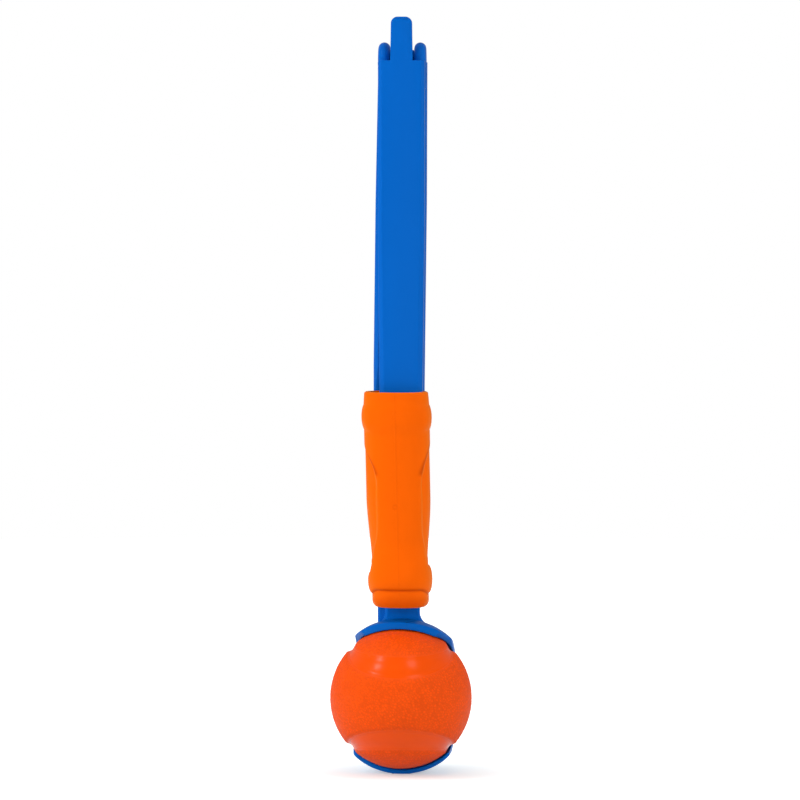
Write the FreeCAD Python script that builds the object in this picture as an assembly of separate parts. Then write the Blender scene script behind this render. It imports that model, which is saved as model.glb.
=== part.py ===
import FreeCAD, Part
import math
import os

# Folding ball launcher, folded flat with its ball in the cup.
# The origin is the centre of the ball seat. Z runs up the arms to the hinge,
# -Y is the side the cup opens to, and X is the hinge axis. Millimetres.

V = FreeCAD.Vector

# Ball
BALL_DIAMETER = 64.0
BALL_WALL = 7.5
CHANNEL_DEPTH = 1.2
WAIST_FRONT_DEG = 17.8
WAIST_SIDE_DEG = 40.3
CAP_FRONT_DEG = 41.0
CAP_SIDE_DEG = 50.0

# Cup
SEAT_CLEARANCE = 0.3
CUP_WALL = 2.2
UPPER_CUP_LIFT = 1.1
EXIT_TILT_DEG = 6.0
BAND_WIDTH = 44.0
BAND_TURN_DEG = 6.0
UPPER_LIP_REACH = 8.0
UPPER_LIP_RADIUS = 31.6
LOWER_LIP_REACH = 1.0
LIP_CORNER_RADIUS = 3.0
UPPER_TIP_WALL = 2.1
LOWER_TIP_WALL = 1.6
TIP_CUT_DEG = 39.5
TIP_CUT_FALL = 0.6
TIP_CUT_START = 6.0
CROWN_MARGIN = 0.2
SPINE_WIDTH = 8.0
SPINE_HEIGHT = 2.6

# Arms
ARM_LENGTH = 286.5
ARM_DEPTH = 11.5
FOLD_GAP = 0.5
ARM_PLANE_BEHIND_BALL = 3.0
CUP_ARM_WIDTH = 22.9
CUP_ARM_CHAMFER = 2.0
CUP_ARM_LEAN = 1.5
HANDLE_MIDDLE_WIDTH = 20.8
HANDLE_LOW_WIDTH = 19.3
HANDLE_TOP_CHAMFER = 1.4
HANDLE_LOW_CHAMFER = 2.2
EDGE_BREAK = 0.7

# Neck between the cup and the grip, a plate with a wide rib on its front
NECK_WIDTH = 19.1
NECK_DEPTH = 8.0
NECK_CHAMFER = 1.0
NECK_EXPOSED = 7.0
NECK_RIB_WIDTH = 15.6
NECK_RIB_HEIGHT = 2.6
NECK_RIB_OFFSET = 0.3
NECK_RIB_RISE = 16.0
NECK_FLARE_RADIUS = 5.5
NECK_FLARE_SINK = 1.0

# Hinge
PIN_DIAMETER = 4.0
PIN_RUNNING_CLEARANCE = 0.05
PIN_RECESS = 0.3
PIN_CHAMFER = 0.4
KNUCKLE_WALL = 2.9
KNUCKLE_WIDTH = 10.4
KNUCKLE_SIDE_CLEARANCE = 0.2
EAR_WALL = 6.25
EAR_THICKNESS = 5.3
EAR_PROUD = 0.4
EAR_ROOT_LENGTH = 12.4
SWING_CLEARANCE = 0.4
CUP_ARM_TOP_MARGIN = 0.2
CUP_ARM_TAPER_LENGTH = 63.0

# Stop tongue and the groove it laps into when the launcher is unfolded
TONGUE_WIDTH = 9.9
TONGUE_TIP_WIDTH = 9.4
TONGUE_THICKNESS = 4.6
TONGUE_LENGTH = 19.5
TONGUE_CORNER_RADIUS = 3.0
TONGUE_TIP_BEVEL = 1.2
TONGUE_SIDE_CLEARANCE = 0.3
TONGUE_END_CLEARANCE = 0.5
STOP_CLEARANCE = 0.1

# Cored pockets and their zigzag ribs on the faces that meet when folded
POCKET_WALL = 2.6
POCKET_FLOOR = 3.0
POCKET_RIB = 1.8
POCKET_PITCH = 15.0
POCKET_END_WALL = 3.0

# Grip sleeve and the tang inside it
SLEEVE_LENGTH = 96.8
SLEEVE_END_WIDTH = 25.2
SLEEVE_WAIST_WIDTH = 25.4
SLEEVE_PALM_WIDTH = 29.4
SLEEVE_UPPER_WIDTH = 29.2
SLEEVE_FRONT_DEPTH = 14.0
SLEEVE_BACK_DEPTH = 9.0
SLEEVE_SQUARENESS = 2.6
SLEEVE_LEAN = 2.3
SLEEVE_END_ROUNDING = 3.0
SLEEVE_RIM_ROUNDING = 0.9
WAIST_FLATTENING = 1.2
LOWER_BEAD_PROUD = 1.8
LOWER_BEAD_HEIGHT = 13.0
LOWER_BEAD_RISE = 6.4
UPPER_BEAD_PROUD = 1.1
UPPER_BEAD_HEIGHT = 12.5
UPPER_BEAD_DROP = 4.7
UPPER_BEAD_FRONT_SHARE = 0.35
PAD_LENGTH = 56.0
PAD_RISE = 17.5
PAD_SQUARENESS = 2.0
PAD_SINK = 0.35
PAD_FRONT_REACH = 12.3
PAD_BACK_REACH = 7.0
SCOOP_CLEARANCE = 0.45
SCOOP_RUNOUT = 9.0
SCOOP_OVERTRAVEL = 2.5
MOUTH_WALL = 2.2
MOUTH_DEPTH = 12.0
TANG_WIDTH = 14.6
TANG_DEPTH = 8.4
TANG_FIT = 0.05
TANG_SHOULDER_DEPTH = 15.0
SLEEVE_END_WALL = 4.5
LOCK_GROOVE_DEPTH = 1.0
LOCK_GROOVE_LENGTH = 4.0
LOCK_GROOVE_RISE = 6.0

# Places worked out from the sizes above
ball_radius = BALL_DIAMETER / 2
seat_radius = ball_radius + SEAT_CLEARANCE
cup_radius = seat_radius + CUP_WALL
pivot_y = ARM_PLANE_BEHIND_BALL
pivot_z = ARM_LENGTH
handle_back = pivot_y - FOLD_GAP / 2
handle_front = handle_back - ARM_DEPTH
cup_arm_front = pivot_y + FOLD_GAP / 2
cup_arm_back = cup_arm_front + ARM_DEPTH
neck_front = cup_arm_back - NECK_DEPTH
neck_plate_front = neck_front + NECK_RIB_HEIGHT
sleeve_end = cup_radius + NECK_EXPOSED
sleeve_mouth = sleeve_end + SLEEVE_LENGTH
pin_radius = PIN_DIAMETER / 2
knuckle_radius = pin_radius + KNUCKLE_WALL
ear_radius = pin_radius + EAR_WALL
ear_inner = KNUCKLE_WIDTH / 2 + KNUCKLE_SIDE_CLEARANCE
ear_outer = ear_inner + EAR_THICKNESS
tongue_inner = handle_front + TONGUE_THICKNESS
stop_distance = pivot_y - tongue_inner - STOP_CLEARANCE
groove_floor = pivot_y + stop_distance
groove_half = TONGUE_WIDTH / 2 + TONGUE_SIDE_CLEARANCE
tang_middle = (handle_front + handle_back) / 2
sleeve_middle = neck_front - SCOOP_CLEARANCE - SLEEVE_BACK_DEPTH
FAR = 200.0


def box(x0, x1, y0, y1, z0, z1):
    """A box between two corners."""
    return Part.makeBox(x1 - x0, y1 - y0, z1 - z0, V(x0, y0, z0))


def x_cylinder(radius, x0, x1, y, z):
    """A cylinder lying along X."""
    return Part.makeCylinder(radius, x1 - x0, V(x0, y, z), V(1, 0, 0))


def flat_wire(points):
    """A closed wire of straight edges."""
    return Part.makePolygon(points + [points[0]])


def prism(points, direction):
    """A straight-sided solid from a closed outline."""
    return Part.Face(flat_wire(points)).extrude(direction)


def bar_section(z, width, front, back, front_chamfer, back_chamfer, middle=0.0):
    """The chamfered bar section that both arms share."""
    left = middle - width / 2
    right = middle + width / 2
    return flat_wire([
        V(left + front_chamfer, front, z),
        V(right - front_chamfer, front, z),
        V(right, front + front_chamfer, z),
        V(right, back - back_chamfer, z),
        V(right - back_chamfer, back, z),
        V(left + back_chamfer, back, z),
        V(left, back - back_chamfer, z),
        V(left, front + front_chamfer, z),
    ])


def ruled_loft(wires):
    """A solid with straight runs between its sections."""
    return Part.makeLoft(wires, True, True)


def zigzag_ribs(half_width, y0, y1, z0, z1):
    """Plates that cross a pocket from side to side, one slant after the other."""
    count = max(1, round((z1 - z0) / POCKET_PITCH))
    pitch = (z1 - z0) / count
    ribs = []
    for i in range(count):
        side = half_width if i % 2 else -half_width
        run = V(-2 * side, 0, pitch)
        across = V(run.z, 0, -run.x).normalize() * (POCKET_RIB / 2)
        foot = V(side, y0, z0 + i * pitch)
        over = run * (POCKET_RIB / run.Length)
        outline = [foot - over - across, foot + run + over - across,
                   foot + run + over + across, foot - over + across]
        ribs.append(prism(outline, V(0, y1 - y0, 0)))
    return ribs


def pocket_cells(sections, y0, y1):
    """The hollow between the side walls of an arm, less its ribs, from (z, width, middle) rows."""
    rings = []
    for z, width, middle in sections:
        half = width / 2 - POCKET_WALL
        rings.append(flat_wire([V(middle - half, y0, z), V(middle + half, y0, z),
                                V(middle + half, y1, z), V(middle - half, y1, z)]))
    widest = max(width / 2 + abs(middle) for z, width, middle in sections)
    hollow = ruled_loft(rings)
    return hollow.cut(zigzag_ribs(widest, y0, y1, sections[0][0], sections[-1][0]))


def width_at(z, stations):
    """Width of a tapered bar between its stations, each a height and a width."""
    for (z0, w0), (z1, w1) in zip(stations, stations[1:]):
        if z <= z1:
            return w0 + (w1 - w0) * (z - z0) / (z1 - z0)
    return stations[-1][1]


def make_ball():
    """Hollow rubber ball: a pebbled waist and two caps, parted by sunk channels."""
    ball = Part.makeSphere(ball_radius)
    skin = Part.makeSphere(ball_radius + 1).cut(Part.makeSphere(ball_radius - CHANNEL_DEPTH))
    channel = skin.common(channel_wedge())
    back = channel.mirror(V(0, 0, 0), V(0, 1, 0))
    ball = ball.cut([channel, back, channel.mirror(V(0, 0, 0), V(0, 0, 1)),
                     back.mirror(V(0, 0, 0), V(0, 0, 1))])
    return ball.cut(Part.makeSphere(ball_radius - BALL_WALL))


def channel_wedge():
    """The space between the waist's edge and the cap's edge, on the ball's front half."""
    def edge_height(front_deg, side_deg, y):
        front = math.radians(front_deg)
        at_side = ball_radius * math.sin(math.radians(side_deg))
        slope = (at_side - ball_radius * math.sin(front)) / (ball_radius * math.cos(front))
        return at_side + slope * y

    reach = ball_radius + 2
    outline = [
        V(-reach, 0, edge_height(WAIST_FRONT_DEG, WAIST_SIDE_DEG, 0)),
        V(-reach, -reach, edge_height(WAIST_FRONT_DEG, WAIST_SIDE_DEG, -reach)),
        V(-reach, -reach, edge_height(CAP_FRONT_DEG, CAP_SIDE_DEG, -reach)),
        V(-reach, 0, edge_height(CAP_FRONT_DEG, CAP_SIDE_DEG, 0)),
    ]
    return prism(outline, V(2 * reach, 0, 0))


def lip_plan(front, z0, z1):
    """The band seen from above: straight sides, the lip's own front, rounded corners and a slight turn."""
    half = BAND_WIDTH / 2
    plan = box(-half, half, -FAR, FAR, z0, z1).common(front)
    corners = [edge for edge in plan.Edges if edge.Length > FAR / 2 and edge.BoundBox.ZLength > FAR / 2
               and edge.BoundBox.YMax < half]
    plan = plan.makeFillet(LIP_CORNER_RADIUS, corners)
    plan.rotate(V(0, 0, 0), V(0, 0, 1), -BAND_TURN_DEG)
    return plan


def lip_crown(side, cup_height, tip_wall):
    """The room that a lip is kept in: it thins the cup's wall towards the lip's two tips."""
    tip = seat_radius + tip_wall
    tip_height = tip * math.sqrt(1 - (BAND_WIDTH / 2 / seat_radius) ** 2)
    crest = cup_height + CROWN_MARGIN
    rise = (crest ** 2 - tip ** 2) / (2 * (crest - tip_height))
    return Part.makeCylinder(crest - rise, 2 * FAR, V(0, -FAR, side * rise), V(0, 1, 0))


def tip_cut(side):
    """The room under one tip of the upper lip, past a plane that falls away towards the back."""
    turn = math.radians(TIP_CUT_DEG)
    along = V(side * math.sin(turn), 0, math.cos(turn))
    outward = V(side * math.cos(turn), 0, -math.sin(turn))
    back = V(0, 1, 0) + outward * TIP_CUT_FALL
    start = V(0, TIP_CUT_START, 0)
    low, high, reach = along * (0.7 * seat_radius), along * (1.3 * seat_radius), back * (0.5 * seat_radius)
    cut = prism([start + low - reach, start + high - reach, start + high + reach, start + low + reach],
                outward * seat_radius)
    cut.rotate(V(0, 0, 0), V(0, 0, 1), -BAND_TURN_DEG)
    return cut


def make_cup():
    """A band of the ball's own curve that holds it top and bottom and is open at the sides."""
    outer = Part.makeSphere(cup_radius)
    upper_outer = Part.makeSphere(math.hypot(cup_radius, UPPER_CUP_LIFT), V(0, 0, UPPER_CUP_LIFT))
    upper_height = UPPER_CUP_LIFT + math.hypot(cup_radius, UPPER_CUP_LIFT)
    upper_front = Part.makeCylinder(UPPER_LIP_RADIUS, FAR, V(0, UPPER_LIP_RADIUS - UPPER_LIP_REACH, 0))
    lower_front = box(-FAR, FAR, -LOWER_LIP_REACH, FAR, -FAR, 0)
    upper = upper_outer.common(lip_plan(upper_front, 0, FAR)).common(lip_crown(1, upper_height, UPPER_TIP_WALL))
    upper = upper.cut([tip_cut(-1), tip_cut(1)])
    lower = outer.common(lip_plan(lower_front, -FAR, 0)).common(lip_crown(-1, cup_radius, LOWER_TIP_WALL))
    return upper.fuse(lower)


def cup_spine():
    """A rib down the back of the cup, from the neck to where it fades at the lower lip."""
    turn = math.radians(45)
    shift = SPINE_HEIGHT / (1 + math.cos(turn))
    radius = cup_radius + shift * math.cos(turn)
    half = SPINE_WIDTH / 2
    rib = x_cylinder(radius, -half, half, shift * math.sin(turn), shift * math.cos(turn))
    return rib.common(box(-half, half, 0, FAR, -FAR, 0).fuse(box(-half, half, neck_front, FAR, 0, FAR)))


def seat_space():
    """The ball's seat and its way out of the cup, which dips past the shorter lower lip."""
    tilt = math.radians(EXIT_TILT_DEG)
    way_out = Part.makeCylinder(seat_radius, FAR, V(0, 0, 0), V(0, -math.cos(tilt), -math.sin(tilt)))
    return Part.makeSphere(seat_radius).fuse(way_out)


def make_neck_rib():
    """Wide rib on the neck's front, flared at its foot into the top of the cup."""
    steps = 6
    foot = cup_radius - CUP_WALL
    back = neck_plate_front + 1
    half = NECK_RIB_WIDTH / 2
    sections = []
    for i in range(-1, steps + 1):
        turn = math.radians(90 * max(i, 0) / steps)
        spread = NECK_FLARE_RADIUS * (1 - math.sin(turn))
        flare_foot = UPPER_CUP_LIFT - NECK_FLARE_SINK
        rise = flare_foot + NECK_FLARE_RADIUS * (1 - math.cos(turn)) if i >= 0 else -CUP_WALL
        sections.append(bar_section(foot + rise, 2 * (half + spread), neck_front - spread, back,
                                    NECK_CHAMFER, EDGE_BREAK + spread, NECK_RIB_OFFSET))
    sections.append(bar_section(foot + NECK_RIB_RISE, 2 * half, neck_front, back,
                                NECK_CHAMFER, EDGE_BREAK, NECK_RIB_OFFSET))
    return ruled_loft(sections)


def cup_arm_stations():
    """Height, width and middle of the cup arm at each station from the cup to the hinge."""
    top_width = 2 * (ear_outer + CUP_ARM_TOP_MARGIN)
    foot = cup_radius - CUP_WALL
    taper = pivot_z - CUP_ARM_TAPER_LENGTH
    return [(foot, NECK_WIDTH), (foot + NECK_RIB_RISE - SCOOP_RUNOUT, NECK_WIDTH), (foot + NECK_RIB_RISE, NECK_WIDTH),
            (sleeve_mouth - MOUTH_DEPTH, CUP_ARM_WIDTH), (taper, CUP_ARM_WIDTH), (pivot_z, top_width)]


def cup_arm_lean(z):
    """How far the cup arm's middle stands off the cup's middle at a height."""
    return -CUP_ARM_LEAN * min(1, (pivot_z - z) / (pivot_z - sleeve_mouth))


def cup_arm_section(z, width, front):
    """The cup arm's section at a height, its back a little deep so that one flat cut faces it."""
    front_chamfer = CUP_ARM_CHAMFER if front == cup_arm_front else NECK_CHAMFER
    return bar_section(z, width, front, cup_arm_back + EDGE_BREAK, front_chamfer,
                       CUP_ARM_CHAMFER + EDGE_BREAK, cup_arm_lean(z))


def cup_arm_bar():
    """The cup arm's bar, scooped behind the grip so that the sleeve nests in it."""
    stations = cup_arm_stations()
    scoop_top = sleeve_mouth + SCOOP_OVERTRAVEL
    fronts = [neck_plate_front, neck_plate_front, neck_front, neck_front]
    sections = [cup_arm_section(z, w, front) for (z, w), front in zip(stations, fronts)]
    sections.append(cup_arm_section(scoop_top, CUP_ARM_WIDTH, neck_front))
    sections.append(cup_arm_section(scoop_top + SCOOP_RUNOUT, CUP_ARM_WIDTH, cup_arm_front))
    sections += [cup_arm_section(z, w, cup_arm_front) for z, w in stations[len(fronts):]]
    return ruled_loft(sections).cut(box(-FAR, FAR, cup_arm_back, FAR, -FAR, 2 * FAR))


def make_cup_arm():
    """Cup, neck, arm and hinge knuckle, moulded in one piece."""
    bar = cup_arm_bar()
    swing = ear_radius + SWING_CLEARANCE
    side = KNUCKLE_WIDTH / 2
    for x0, x1 in ((-FAR, -side), (side, FAR)):
        bar = bar.cut(x_cylinder(swing, x0, x1, pivot_y, pivot_z))
    horn_top = pivot_z - SWING_CLEARANCE
    bar = bar.cut(box(-FAR, -side, -FAR, FAR, horn_top, horn_top + FAR))
    bar = bar.cut(box(side, FAR, -FAR, FAR, horn_top, horn_top + FAR))
    bar = bar.cut(box(-FAR, FAR, groove_floor, FAR, horn_top, horn_top + FAR))
    bar = bar.cut(box(-groove_half, groove_half, groove_floor, FAR,
                      pivot_z - TONGUE_LENGTH - TONGUE_END_CLEARANCE, pivot_z + FAR))
    knuckle = x_cylinder(knuckle_radius, -side, side, pivot_y, pivot_z)
    pocket_low = sleeve_mouth + SCOOP_OVERTRAVEL + SCOOP_RUNOUT + POCKET_END_WALL
    pocket_high = pivot_z - TONGUE_LENGTH - TONGUE_END_CLEARANCE - POCKET_END_WALL
    stations = cup_arm_stations()
    heights = [pocket_low, pivot_z - CUP_ARM_TAPER_LENGTH, pocket_high]
    cells = pocket_cells([(z, width_at(z, stations), cup_arm_lean(z)) for z in sorted(heights)],
                         cup_arm_front - 1, cup_arm_back - POCKET_FLOOR)
    arm = bar.cut(cells).fuse([knuckle, make_cup(), cup_spine(), make_neck_rib()])
    arm = arm.cut(seat_space())
    running = pin_radius + PIN_RUNNING_CLEARANCE
    return arm.cut(x_cylinder(running, -FAR, FAR, pivot_y, pivot_z)).removeSplitter()


def make_ear(side):
    """One hinge ear of the handle arm, a round-rimmed plate outside the knuckle."""
    half = EAR_THICKNESS / 2
    middle = side * (ear_inner + half)
    rim = ear_radius - half
    corner = [V(middle - half, 0, 0), V(middle - half, rim, 0), V(middle, rim + half, 0),
              V(middle + half, rim, 0), V(middle + half, 0, 0)]
    edges = [Part.makeLine(corner[0], corner[1]), Part.Arc(*corner[1:4]).toShape(),
             Part.makeLine(corner[3], corner[4]), Part.makeLine(corner[4], corner[0])]
    disc = Part.Face(Part.Wire(edges)).revolve(V(0, 0, 0), V(1, 0, 0), 360)
    disc.translate(V(0, pivot_y, pivot_z))
    inner, outer = sorted((side * ear_inner, side * ear_outer))
    root = box(inner, outer, pivot_y - ear_radius + half, handle_back,
               pivot_z - EAR_ROOT_LENGTH, pivot_z)
    return disc.fuse(root)


def make_tongue():
    """Flat stop tongue that runs on up from the handle arm's front face."""
    half = TONGUE_WIDTH / 2
    tip_half = TONGUE_TIP_WIDTH / 2
    tip = pivot_z + TONGUE_LENGTH
    low = pivot_z - EAR_ROOT_LENGTH
    radius = TONGUE_CORNER_RADIUS
    turn = radius * (1 - math.sqrt(0.5))
    y = handle_front
    edges = [
        Part.makeLine(V(-half, y, low), V(half, y, low)),
        Part.makeLine(V(half, y, low), V(half, y, pivot_z)),
        Part.makeLine(V(half, y, pivot_z), V(tip_half, y, tip - radius)),
        Part.Arc(V(tip_half, y, tip - radius), V(tip_half - turn, y, tip - turn),
                 V(tip_half - radius, y, tip)).toShape(),
        Part.makeLine(V(tip_half - radius, y, tip), V(-tip_half + radius, y, tip)),
        Part.Arc(V(-tip_half + radius, y, tip), V(-tip_half + turn, y, tip - turn),
                 V(-tip_half, y, tip - radius)).toShape(),
        Part.makeLine(V(-tip_half, y, tip - radius), V(-half, y, pivot_z)),
        Part.makeLine(V(-half, y, pivot_z), V(-half, y, low)),
    ]
    tongue = Part.Face(Part.Wire(edges)).extrude(V(0, TONGUE_THICKNESS, 0))
    bevel = prism([V(-FAR, y, tip - TONGUE_TIP_BEVEL), V(-FAR, y, tip), V(-FAR, y + TONGUE_TIP_BEVEL, tip)],
                  V(2 * FAR, 0, 0))
    return tongue.cut(bevel)


def handle_stations():
    """Heights and widths of the handle arm from inside the sleeve to the shoulder."""
    top_width = 2 * (ear_outer - EAR_PROUD)
    return [(sleeve_mouth - TANG_SHOULDER_DEPTH, HANDLE_LOW_WIDTH), (sleeve_mouth, HANDLE_LOW_WIDTH),
            ((sleeve_mouth + pivot_z) / 2, HANDLE_MIDDLE_WIDTH), (pivot_z, top_width)]


def handle_bar():
    """The handle arm's bar: a flat front between chamfers that widen towards the grip."""
    stations = handle_stations()
    sections = []
    for z, width in stations:
        share = (z - stations[0][0]) / (pivot_z - stations[0][0])
        chamfer = HANDLE_LOW_CHAMFER + (HANDLE_TOP_CHAMFER - HANDLE_LOW_CHAMFER) * share
        sections.append(bar_section(z, width, handle_front, handle_back, chamfer, EDGE_BREAK))
    return ruled_loft(sections)


def make_tang(clearance):
    """The tang that the sleeve is pushed over, with its lock groove; clearance grows it."""
    half = TANG_WIDTH / 2 + clearance
    depth = TANG_DEPTH / 2 + clearance
    low = sleeve_end + SLEEVE_END_WALL - clearance
    high = sleeve_mouth - TANG_SHOULDER_DEPTH + 1
    tang = box(-half, half, tang_middle - depth, tang_middle + depth, low, high)
    groove_low = sleeve_end + SLEEVE_END_WALL + LOCK_GROOVE_RISE + clearance
    groove_high = groove_low + LOCK_GROOVE_LENGTH - 2 * clearance
    for side in (-1, 1):
        x0, x1 = sorted((side * (half - LOCK_GROOVE_DEPTH), side * FAR))
        tang = tang.cut(box(x0, x1, -FAR, FAR, groove_low, groove_high))
    return tang


def make_handle_arm():
    """Handle arm with its hinge ears, stop tongue and tang, moulded in one piece."""
    slot = box(-ear_inner, ear_inner, tongue_inner, FAR,
               pivot_z - knuckle_radius - SWING_CLEARANCE, pivot_z + FAR)
    arm = handle_bar().fuse([make_ear(-1), make_ear(1), make_tongue(), make_tang(0)]).cut(slot)
    stations = handle_stations()
    low = sleeve_mouth + POCKET_END_WALL
    high = pivot_z - EAR_ROOT_LENGTH - POCKET_END_WALL
    heights = [low, (sleeve_mouth + pivot_z) / 2, high]
    cells = pocket_cells([(z, width_at(z, stations), 0.0) for z in sorted(heights)],
                         handle_front + POCKET_FLOOR, handle_back + 1)
    arm = arm.cut(cells)
    return arm.cut(x_cylinder(pin_radius, -FAR, FAR, pivot_y, pivot_z)).removeSplitter()


def make_pivot_pin():
    """Steel pin pressed into both ears, its ends just under their faces."""
    half = ear_outer - PIN_RECESS
    pin = x_cylinder(pin_radius, -half, half, pivot_y, pivot_z)
    ends = [edge for edge in pin.Edges if edge.Curve.TypeId == "Part::GeomCircle"]
    return pin.makeChamfer(PIN_CHAMFER, ends)


def sleeve_section(z, half_width, grow, squareness=SLEEVE_SQUARENESS):
    """One squared-off oval ring of the sleeve; grow swells its front, and its back never."""
    points = []
    count = 48
    for i in range(count):
        turn = 2 * math.pi * i / count
        c = math.cos(turn)
        s = math.sin(turn)
        depth = SLEEVE_BACK_DEPTH + min(grow, 0) if s > 0 else SLEEVE_FRONT_DEPTH + grow
        x = half_width * math.copysign(abs(c) ** (2 / squareness), c)
        y = depth * math.copysign(abs(s) ** (2 / squareness), s)
        points.append(V(x + sleeve_lean(z), sleeve_middle + y, z))
    curve = Part.BSplineCurve()
    curve.interpolate(Points=points, PeriodicFlag=True)
    return Part.Wire(curve.toShape())


def sleeve_lean(z):
    """How far the sleeve's middle stands off the arm's middle at a height."""
    return -SLEEVE_LEAN * (z - sleeve_end) / SLEEVE_LENGTH


def sleeve_girth(rise):
    """Half width and front swell of the plain sleeve at a height above its lower end."""
    end = SLEEVE_END_WIDTH / 2
    waist = SLEEVE_WAIST_WIDTH / 2
    palm = SLEEVE_PALM_WIDTH / 2
    upper = SLEEVE_UPPER_WIDTH / 2
    rows = [
        (0.0, end - SLEEVE_END_ROUNDING, -SLEEVE_END_ROUNDING),
        (0.15 * SLEEVE_END_ROUNDING, end - 0.45 * SLEEVE_END_ROUNDING, -0.45 * SLEEVE_END_ROUNDING),
        (0.45 * SLEEVE_END_ROUNDING, end - 0.15 * SLEEVE_END_ROUNDING, -0.15 * SLEEVE_END_ROUNDING),
        (SLEEVE_END_ROUNDING, end, 0.0),
        (PAD_RISE, waist, -WAIST_FLATTENING),
        (0.3 * SLEEVE_LENGTH, waist + 0.35 * (palm - waist), -WAIST_FLATTENING),
        (0.44 * SLEEVE_LENGTH, palm - 0.15 * (palm - waist), -0.6 * WAIST_FLATTENING),
        (0.6 * SLEEVE_LENGTH, palm + 0.3 * (upper - palm), -0.2 * WAIST_FLATTENING),
        (0.8 * SLEEVE_LENGTH, upper, 0.0),
        (SLEEVE_LENGTH - 3 * SLEEVE_RIM_ROUNDING, upper - 0.1 * SLEEVE_RIM_ROUNDING, 0.0),
        (SLEEVE_LENGTH - SLEEVE_RIM_ROUNDING, upper - 0.3 * SLEEVE_RIM_ROUNDING, -0.2 * SLEEVE_RIM_ROUNDING),
        (SLEEVE_LENGTH, upper - SLEEVE_RIM_ROUNDING, -SLEEVE_RIM_ROUNDING),
    ]
    for (z0, half0, grow0), (z1, half1, grow1) in zip(rows, rows[1:]):
        if rise <= z1:
            share = (rise - z0) / (z1 - z0)
            return half0 + (half1 - half0) * share, grow0 + (grow1 - grow0) * share
    return rows[-1][1:]


def bead_swell(rise):
    """How far the beads stand out at the sides and at the front, at a height above the sleeve's lower end."""
    upper_foot = SLEEVE_LENGTH - UPPER_BEAD_DROP - UPPER_BEAD_HEIGHT
    side = 0.0
    front = 0.0
    for foot, height, proud, share in ((LOWER_BEAD_RISE, LOWER_BEAD_HEIGHT, LOWER_BEAD_PROUD, 1.0),
                                       (upper_foot, UPPER_BEAD_HEIGHT, UPPER_BEAD_PROUD, UPPER_BEAD_FRONT_SHARE)):
        reach = 2 * (rise - foot) / height - 1
        swell = proud * max(0.0, 1 - reach * reach)
        side += swell
        front += swell * share
    return side, front


def sleeve_form(squareness, inset, beaded):
    """The sleeve's outside, drawn in by an inset, with or without its two beads."""
    rises = [0.0, 0.15 * SLEEVE_END_ROUNDING, 0.45 * SLEEVE_END_ROUNDING, SLEEVE_END_ROUNDING]
    rises += [LOWER_BEAD_RISE + LOWER_BEAD_HEIGHT * i / 10 for i in range(11)]
    plain_low = LOWER_BEAD_RISE + LOWER_BEAD_HEIGHT
    plain_high = SLEEVE_LENGTH - UPPER_BEAD_DROP - UPPER_BEAD_HEIGHT
    rises += [plain_low + (plain_high - plain_low) * i / 14 for i in range(1, 14)]
    rises += [plain_high + UPPER_BEAD_HEIGHT * i / 8 for i in range(9)]
    rises += [SLEEVE_LENGTH - 3 * SLEEVE_RIM_ROUNDING, SLEEVE_LENGTH - SLEEVE_RIM_ROUNDING, SLEEVE_LENGTH]
    rings = []
    for rise in rises:
        half, grow = sleeve_girth(rise)
        side, front = bead_swell(rise) if beaded else (0.0, 0.0)
        rings.append(sleeve_section(sleeve_end + rise, half + side - inset, grow + front - inset, squareness))
    return ruled_loft(rings)


def sleeve_mouth_space():
    """The wider mouth that the arm enters, with the arm's own room below it."""
    low = sleeve_mouth - MOUTH_DEPTH
    half = SLEEVE_UPPER_WIDTH / 2
    rings = [sleeve_section(low, half - 2 * MOUTH_WALL, -2 * MOUTH_WALL),
             sleeve_section(sleeve_mouth + 1, half - MOUTH_WALL - 0.2, -MOUTH_WALL)]
    return ruled_loft(rings).fuse(handle_bar())


def pad_edge(reach):
    """One edge of a side pad, blunt at both ends, from its foot to its top."""
    middle = sleeve_end + PAD_RISE + PAD_LENGTH / 2
    shares = [-1, -0.97, -0.9, -0.75, -0.5, 0, 0.5, 0.75, 0.9, 0.97, 1]
    curve = Part.BSplineCurve()
    curve.interpolate([V(3, sleeve_middle + reach * (1 - t ** 4), middle + t * PAD_LENGTH / 2) for t in shares])
    return curve.toShape()


def pad_recesses():
    """Leaf-shaped thumb and finger pads, sunk into both sides of the sleeve."""
    leaf = Part.Face(Part.Wire([pad_edge(-PAD_FRONT_REACH), pad_edge(PAD_BACK_REACH)]))
    right = leaf.extrude(V(FAR, 0, 0))
    left = right.mirror(V(0, 0, 0), V(1, 0, 0))
    return right.fuse(left).cut(sleeve_form(PAD_SQUARENESS, PAD_SINK, False))


def make_grip_sleeve():
    """Soft sleeve over the tang, with a bead near each end and a pad on each side."""
    body = sleeve_form(SLEEVE_SQUARENESS, 0.0, True).cut(pad_recesses())
    return body.cut([make_tang(TANG_FIT), sleeve_mouth_space()]).removeSplitter()


def export(name, shape):
    """Check one sub-part and write it to its own file."""
    if not shape.isValid():
        raise ValueError(name + " is not a valid shape")
    solid = shape.Solids[0] if len(shape.Solids) == 1 else shape
    print(name, "solids", len(shape.Solids), "volume_cm3", round(shape.Volume / 1000, 2))
    solid.exportStep("parts/" + name + ".step")


def main():
    os.makedirs("parts", exist_ok=True)
    export("cup_arm", make_cup_arm())
    export("handle_arm", make_handle_arm())
    export("grip_sleeve", make_grip_sleeve())
    export("pivot_pin", make_pivot_pin())
    export("ball", make_ball())


main()
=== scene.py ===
"""Looks of a folding ball launcher, folded flat with its pebbled rubber ball in the cup."""

import math

import bmesh
import bpy
from bpy.props import FloatProperty, FloatVectorProperty, PointerProperty
from mathutils import Matrix, Vector, noise
from mathutils.bvhtree import BVHTree


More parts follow.
